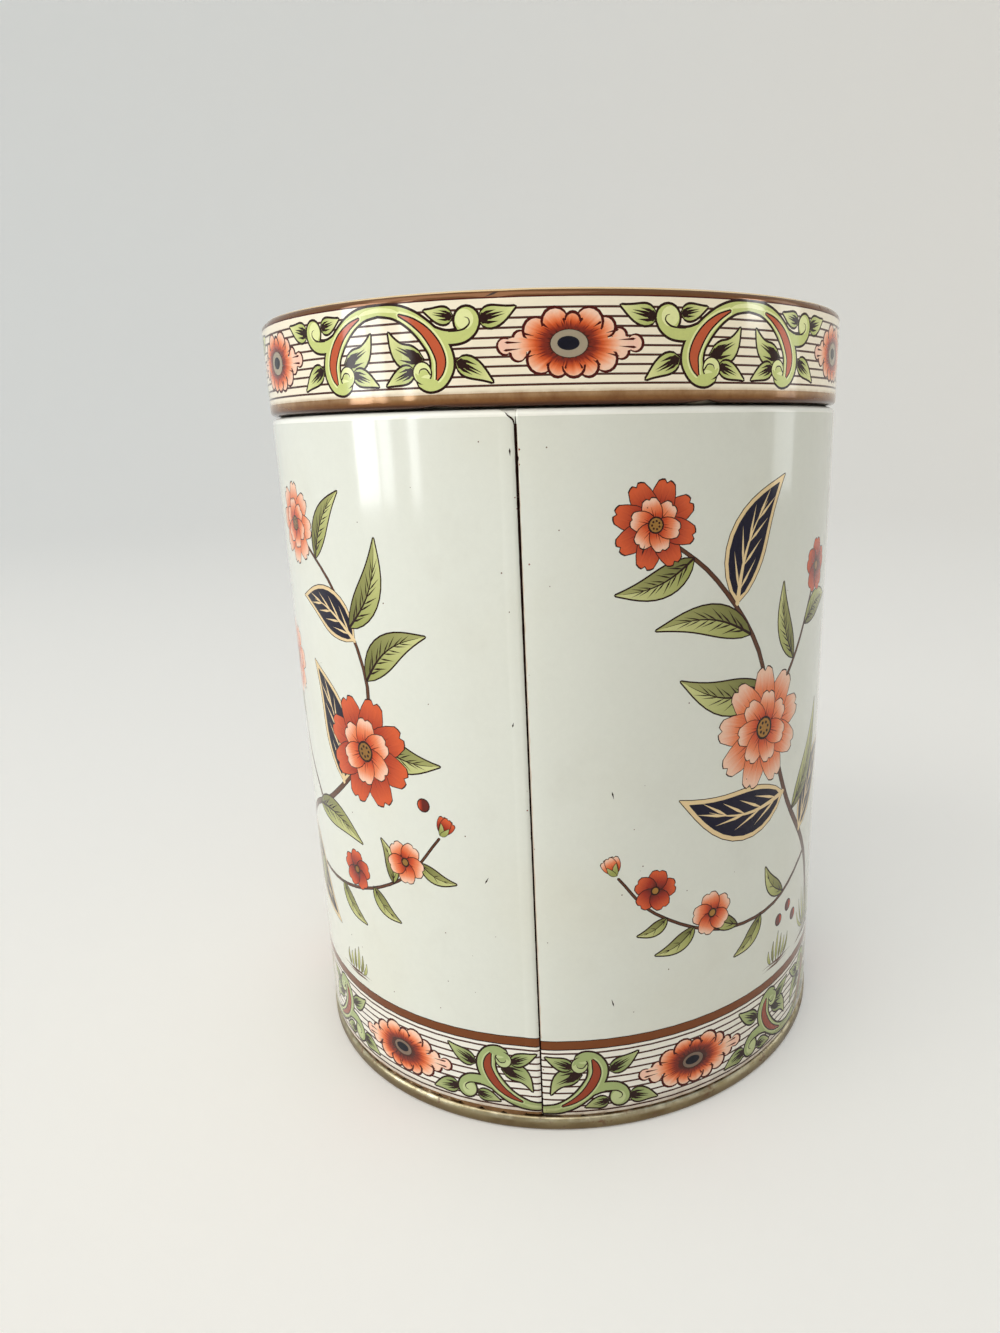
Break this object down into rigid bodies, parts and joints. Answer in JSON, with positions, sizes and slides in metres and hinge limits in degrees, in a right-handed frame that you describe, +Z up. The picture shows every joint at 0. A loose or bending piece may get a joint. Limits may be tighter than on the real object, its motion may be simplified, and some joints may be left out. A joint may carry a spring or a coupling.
{
  "type": "tea tin",
  "caption": "Round printed tinplate tea tin with a locked side seam, a double-seamed base and a slip lid that lifts off its neck.",
  "frame": {"origin": "centre of the base, on the plane that the folded rim stands on", "axes": "+Z up along the tin's axis; the side seam faces -Y"},
  "size_m": [0.1004, 0.1004, 0.13],
  "materials": {
    "printed_wall": "glossy varnished print on tinplate",
    "bare_tinplate": "dull worn tinplate",
    "printed_lid": "glossy varnished print on tinplate"
  },
  "bodies": {
    "tin": {"body_wall": "printed_wall", "base_plate": "bare_tinplate"},
    "lid": {"lid_shell": "printed_lid"}
  },
  "joints": [
    {"name": "lid_lift", "type": "slide", "parent": "tin", "child": "lid", "axis": [0, 0, 1], "range_m": [0, 0.06]}
  ]
}
